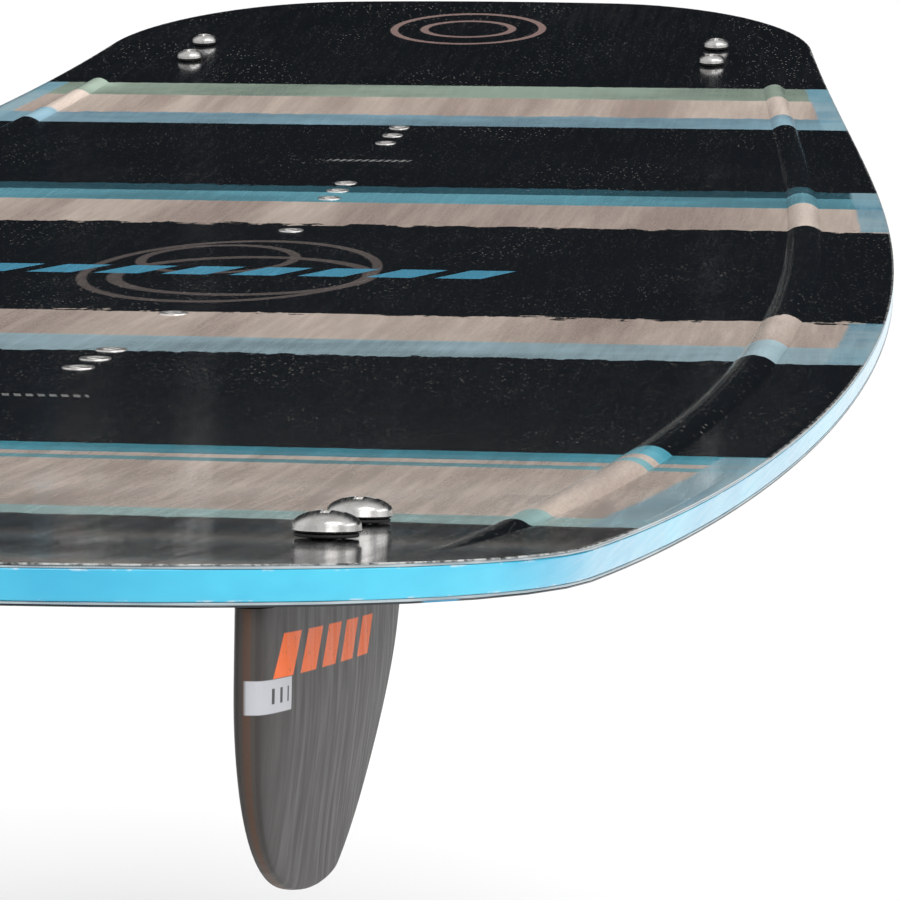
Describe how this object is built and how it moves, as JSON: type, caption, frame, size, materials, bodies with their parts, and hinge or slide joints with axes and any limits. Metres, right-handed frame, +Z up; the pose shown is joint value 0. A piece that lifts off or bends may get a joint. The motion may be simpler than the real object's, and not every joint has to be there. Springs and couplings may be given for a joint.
{
  "type": "kiteboard",
  "caption": "Twin-tip kiteboard: rockered wood-core deck with raised side beads, blue rails, centreline pad inserts and bolt-on corner fins.",
  "frame": {"origin": "point on the floor under the middle of the board, where the four fin tips stand at Z = 0", "axes": "+X along the board to its front tip, +Y to its left rail, +Z up out of the deck"},
  "size_m": [1.4, 0.435, 0.0746],
  "materials": {
    "top_sheet": "high gloss black film with wood-print and cyan bands",
    "laminate": "grey-green glass laminate, satin",
    "core": "raw paulownia strips",
    "base_sheet": "glossy dark base film",
    "rail": "satin cyan-blue, milled",
    "fin_block": "natural off-white",
    "insert": "satin stainless",
    "fin": "satin dark grey glass-epoxy plate",
    "fin_thread": "knurled brass",
    "screw": "polished stainless",
    "washer": "matte black"
  },
  "bodies": {
    "board": {"top_sheet": "top_sheet", "top_laminate": "laminate", "bottom_laminate": "laminate", "base_sheet": "base_sheet", "rail_left": "rail", "rail_right": "rail", "fin_block_front_left": "fin_block", "fin_block_front_right": "fin_block", "fin_block_rear_left": "fin_block", "fin_block_rear_right": "fin_block", "core": "core", "pad_insert_front_inner_1": "insert", "pad_insert_front_inner_2": "insert", "pad_insert_front_inner_3": "insert", "pad_insert_front_outer_1": "insert", "pad_insert_front_outer_2": "insert", "pad_insert_front_outer_3": "insert", "pad_insert_rear_inner_1": "insert", "pad_insert_rear_inner_2": "insert", "pad_insert_rear_inner_3": "insert", "pad_insert_rear_outer_1": "insert", "pad_insert_rear_outer_2": "insert", "pad_insert_rear_outer_3": "insert", "handle_insert_front": "insert", "handle_insert_rear": "insert"},
    "fin_front_left": {"fin_front_left": "fin", "fin_thread_front_left_outer": "fin_thread", "fin_thread_front_left_inner": "fin_thread"},
    "screw_washer_front_left_outer": {"screw_washer_front_left_outer": "washer"},
    "fin_screw_front_left_outer": {"fin_screw_front_left_outer": "screw"},
    "screw_washer_front_left_inner": {"screw_washer_front_left_inner": "washer"},
    "fin_screw_front_left_inner": {"fin_screw_front_left_inner": "screw"},
    "fin_front_right": {"fin_front_right": "fin", "fin_thread_front_right_outer": "fin_thread", "fin_thread_front_right_inner": "fin_thread"},
    "screw_washer_front_right_outer": {"screw_washer_front_right_outer": "washer"},
    "fin_screw_front_right_outer": {"fin_screw_front_right_outer": "screw"},
    "screw_washer_front_right_inner": {"screw_washer_front_right_inner": "washer"},
    "fin_screw_front_right_inner": {"fin_screw_front_right_inner": "screw"},
    "fin_rear_left": {"fin_rear_left": "fin", "fin_thread_rear_left_outer": "fin_thread", "fin_thread_rear_left_inner": "fin_thread"},
    "screw_washer_rear_left_outer": {"screw_washer_rear_left_outer": "washer"},
    "fin_screw_rear_left_outer": {"fin_screw_rear_left_outer": "screw"},
    "screw_washer_rear_left_inner": {"screw_washer_rear_left_inner": "washer"},
    "fin_screw_rear_left_inner": {"fin_screw_rear_left_inner": "screw"},
    "fin_rear_right": {"fin_rear_right": "fin", "fin_thread_rear_right_outer": "fin_thread", "fin_thread_rear_right_inner": "fin_thread"},
    "screw_washer_rear_right_outer": {"screw_washer_rear_right_outer": "washer"},
    "fin_screw_rear_right_outer": {"fin_screw_rear_right_outer": "screw"},
    "screw_washer_rear_right_inner": {"screw_washer_rear_right_inner": "washer"},
    "fin_screw_rear_right_inner": {"fin_screw_rear_right_inner": "screw"}
  },
  "joints": [
    {"name": "fin_front_left_pull_off", "type": "slide", "parent": "board", "child": "fin_front_left", "axis": [0.1275, 0, -0.9918], "range_m": [0, 0.06]},
    {"name": "fin_screw_front_left_outer_lift", "type": "slide", "parent": "board", "child": "screw_washer_front_left_outer", "axis": [-0.1275, 0, 0.9918], "range_m": [0, 0.025]},
    {"name": "fin_screw_front_left_outer_turn", "type": "hinge", "parent": "screw_washer_front_left_outer", "child": "fin_screw_front_left_outer", "pos_m": [0.59784, 0.12598, 0.05851], "axis": [-0.1275, 0, 0.9918], "range_deg": [0, 9000]},
    {"name": "fin_screw_front_left_inner_lift", "type": "slide", "parent": "board", "child": "screw_washer_front_left_inner", "axis": [-0.1275, 0, 0.9918], "range_m": [0, 0.025]},
    {"name": "fin_screw_front_left_inner_turn", "type": "hinge", "parent": "screw_washer_front_left_inner", "child": "fin_screw_front_left_inner", "pos_m": [0.56015, 0.12598, 0.05366], "axis": [-0.1275, 0, 0.9918], "range_deg": [0, 9000]},
    {"name": "fin_front_right_pull_off", "type": "slide", "parent": "board", "child": "fin_front_right", "axis": [0.1275, 0, -0.9918], "range_m": [0, 0.06]},
    {"name": "fin_screw_front_right_outer_lift", "type": "slide", "parent": "board", "child": "screw_washer_front_right_outer", "axis": [-0.1275, 0, 0.9918], "range_m": [0, 0.025]},
    {"name": "fin_screw_front_right_outer_turn", "type": "hinge", "parent": "screw_washer_front_right_outer", "child": "fin_screw_front_right_outer", "pos_m": [0.59784, -0.12598, 0.05851], "axis": [-0.1275, 0, 0.9918], "range_deg": [0, 9000]},
    {"name": "fin_screw_front_right_inner_lift", "type": "slide", "parent": "board", "child": "screw_washer_front_right_inner", "axis": [-0.1275, 0, 0.9918], "range_m": [0, 0.025]},
    {"name": "fin_screw_front_right_inner_turn", "type": "hinge", "parent": "screw_washer_front_right_inner", "child": "fin_screw_front_right_inner", "pos_m": [0.56015, -0.12598, 0.05366], "axis": [-0.1275, 0, 0.9918], "range_deg": [0, 9000]},
    {"name": "fin_rear_left_pull_off", "type": "slide", "parent": "board", "child": "fin_rear_left", "axis": [-0.1275, 0, -0.9918], "range_m": [0, 0.06]},
    {"name": "fin_screw_rear_left_outer_lift", "type": "slide", "parent": "board", "child": "screw_washer_rear_left_outer", "axis": [0.1275, 0, 0.9918], "range_m": [0, 0.025]},
    {"name": "fin_screw_rear_left_outer_turn", "type": "hinge", "parent": "screw_washer_rear_left_outer", "child": "fin_screw_rear_left_outer", "pos_m": [-0.59784, 0.12598, 0.05851], "axis": [0.1275, 0, 0.9918], "range_deg": [0, 9000]},
    {"name": "fin_screw_rear_left_inner_lift", "type": "slide", "parent": "board", "child": "screw_washer_rear_left_inner", "axis": [0.1275, 0, 0.9918], "range_m": [0, 0.025]},
    {"name": "fin_screw_rear_left_inner_turn", "type": "hinge", "parent": "screw_washer_rear_left_inner", "child": "fin_screw_rear_left_inner", "pos_m": [-0.56015, 0.12598, 0.05366], "axis": [0.1275, 0, 0.9918], "range_deg": [0, 9000]},
    {"name": "fin_rear_right_pull_off", "type": "slide", "parent": "board", "child": "fin_rear_right", "axis": [-0.1275, 0, -0.9918], "range_m": [0, 0.06]},
    {"name": "fin_screw_rear_right_outer_lift", "type": "slide", "parent": "board", "child": "screw_washer_rear_right_outer", "axis": [0.1275, 0, 0.9918], "range_m": [0, 0.025]},
    {"name": "fin_screw_rear_right_outer_turn", "type": "hinge", "parent": "screw_washer_rear_right_outer", "child": "fin_screw_rear_right_outer", "pos_m": [-0.59784, -0.12598, 0.05851], "axis": [0.1275, 0, 0.9918], "range_deg": [0, 9000]},
    {"name": "fin_screw_rear_right_inner_lift", "type": "slide", "parent": "board", "child": "screw_washer_rear_right_inner", "axis": [0.1275, 0, 0.9918], "range_m": [0, 0.025]},
    {"name": "fin_screw_rear_right_inner_turn", "type": "hinge", "parent": "screw_washer_rear_right_inner", "child": "fin_screw_rear_right_inner", "pos_m": [-0.56015, -0.12598, 0.05366], "axis": [0.1275, 0, 0.9918], "range_deg": [0, 9000]}
  ],
  "couplings": [
    {"joint": "fin_screw_front_left_outer_turn", "follows": "fin_screw_front_left_outer_lift", "rad_per_m": 6283.2},
    {"joint": "fin_screw_front_left_inner_turn", "follows": "fin_screw_front_left_inner_lift", "rad_per_m": 6283.2},
    {"joint": "fin_screw_front_right_outer_turn", "follows": "fin_screw_front_right_outer_lift", "rad_per_m": 6283.2},
    {"joint": "fin_screw_front_right_inner_turn", "follows": "fin_screw_front_right_inner_lift", "rad_per_m": 6283.2},
    {"joint": "fin_screw_rear_left_outer_turn", "follows": "fin_screw_rear_left_outer_lift", "rad_per_m": 6283.2},
    {"joint": "fin_screw_rear_left_inner_turn", "follows": "fin_screw_rear_left_inner_lift", "rad_per_m": 6283.2},
    {"joint": "fin_screw_rear_right_outer_turn", "follows": "fin_screw_rear_right_outer_lift", "rad_per_m": 6283.2},
    {"joint": "fin_screw_rear_right_inner_turn", "follows": "fin_screw_rear_right_inner_lift", "rad_per_m": 6283.2}
  ]
}
